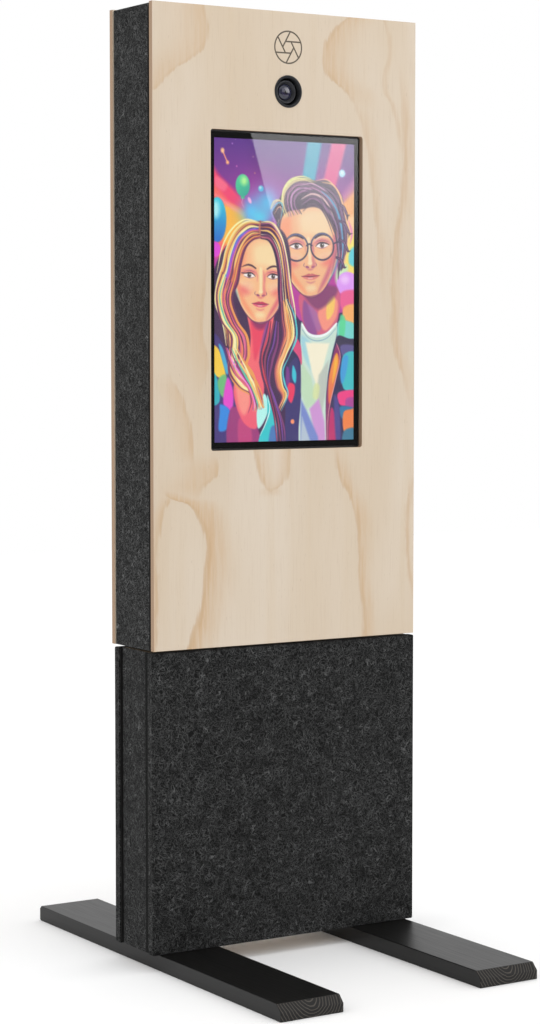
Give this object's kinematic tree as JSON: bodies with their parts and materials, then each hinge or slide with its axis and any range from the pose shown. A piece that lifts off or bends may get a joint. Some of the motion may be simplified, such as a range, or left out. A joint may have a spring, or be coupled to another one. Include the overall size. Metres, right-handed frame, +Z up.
{
  "type": "photo booth",
  "caption": "Slim free-standing photo booth: plywood and felt cabinet with upright touch screen and camera, on a felt-covered base with two planks; hinged rear door.",
  "frame": {"origin": "on the floor, in the middle of the box around the whole booth, which is the middle of the planks", "axes": "+X to the right of someone who faces the screen, +Y from front to back, +Z up"},
  "size_m": [0.626, 0.963, 1.8905],
  "materials": {
    "plywood": "pale softwood plywood, clear matt lacquer, edge plies showing",
    "felt": "pressed charcoal polyester felt with lighter flecks",
    "stained_wood": "solid softwood, black stain, satin",
    "carcass_board": "black faced board",
    "screen_glass": "clear toughened glass",
    "screen_border": "black ceramic print behind the glass",
    "screen_panel": "lit display panel",
    "steel_black": "black powder-coated sheet steel",
    "zinc": "zinc-plated steel",
    "ring_metal": "anodised gunmetal aluminium",
    "lens_plastic": "black moulded lens barrel",
    "lens_glass": "coated lens glass",
    "black_plastic": "black moulded plastic",
    "rubber_black": "black rubber",
    "nickel": "nickel-plated brass"
  },
  "bodies": {
    "cabinet": {"front_panel": "plywood", "side_board_left": "carcass_board", "side_board_right": "carcass_board", "top_board": "carcass_board", "bottom_board": "carcass_board", "felt_left": "felt", "felt_right": "felt", "felt_top": "felt", "touch_glass": "screen_glass", "glass_border": "screen_border", "lcd_panel": "screen_panel", "display_chassis": "steel_black", "display_brackets": "zinc", "display_screws": "zinc", "camera_ring": "ring_metal", "camera_yoke": "steel_black", "camera_pivot_pin": "zinc", "fan_frame": "black_plastic", "fan_bracket": "zinc", "equipment_shelf": "carcass_board", "pc_case": "steel_black", "power_supply": "black_plastic", "hinge_frame_leaves": "zinc", "hinge_pins": "zinc", "hinge_frame_screws": "zinc", "lock_strike": "zinc", "door_magnets": "black_plastic", "base_front_board": "carcass_board", "base_front_felt": "felt", "base_rear_board": "carcass_board", "base_rear_felt": "felt", "base_side_boards": "carcass_board", "base_side_felts": "felt", "base_top_board": "carcass_board", "base_bottom_board": "carcass_board", "module_spacers": "rubber_black", "module_bolts": "black_plastic", "t_nuts": "zinc", "foot_plank_left": "stained_wood", "foot_plank_right": "stained_wood", "foot_bolts": "zinc", "inlet_module": "black_plastic", "lead_mains": "rubber_black", "leads_signal": "rubber_black", "leads_dc": "rubber_black", "lead_clips": "black_plastic"},
    "door": {"rear_door": "plywood", "hinge_door_leaves": "zinc", "hinge_door_screws": "zinc", "lock_body": "nickel", "catch_plates": "zinc"},
    "lock": {"lock_plug": "nickel", "lock_tongue": "zinc"},
    "camera": {"camera_body": "steel_black", "lens_barrel": "lens_plastic", "lens_glass": "lens_glass"},
    "knob": {"camera_knob": "black_plastic"},
    "fan": {"fan_rotor": "black_plastic"},
    "switch": {"switch_rocker": "black_plastic"}
  },
  "joints": [
    {"name": "service_door", "type": "hinge", "parent": "cabinet", "child": "door", "pos_m": [0.31, 0.1145, 1.2625], "axis": [0, 0, -1], "range_deg": [0, 105]},
    {"name": "lock_turn", "type": "hinge", "parent": "door", "child": "lock", "pos_m": [-0.2605, 0.115, 1.2625], "axis": [0, 1, 0], "range_deg": [0, 90]},
    {"name": "camera_tilt", "type": "hinge", "parent": "cabinet", "child": "camera", "pos_m": [0, -0.002, 1.734], "axis": [1, 0, 0], "range_deg": [-5, 5]},
    {"name": "camera_knob_turn", "type": "hinge", "parent": "cabinet", "child": "knob", "pos_m": [0.048, -0.002, 1.734], "axis": [1, 0, 0], "range_deg": [0, 180]},
    {"name": "fan_spin", "type": "hinge", "parent": "cabinet", "child": "fan", "pos_m": [0, 0.096, 1.8155], "axis": [0, 1, 0], "continuous": true},
    {"name": "power_switch", "type": "hinge", "parent": "cabinet", "child": "switch", "pos_m": [0.25, 0.1105, 0.14], "axis": [-1, 0, 0], "range_deg": [0, 12]}
  ]
}
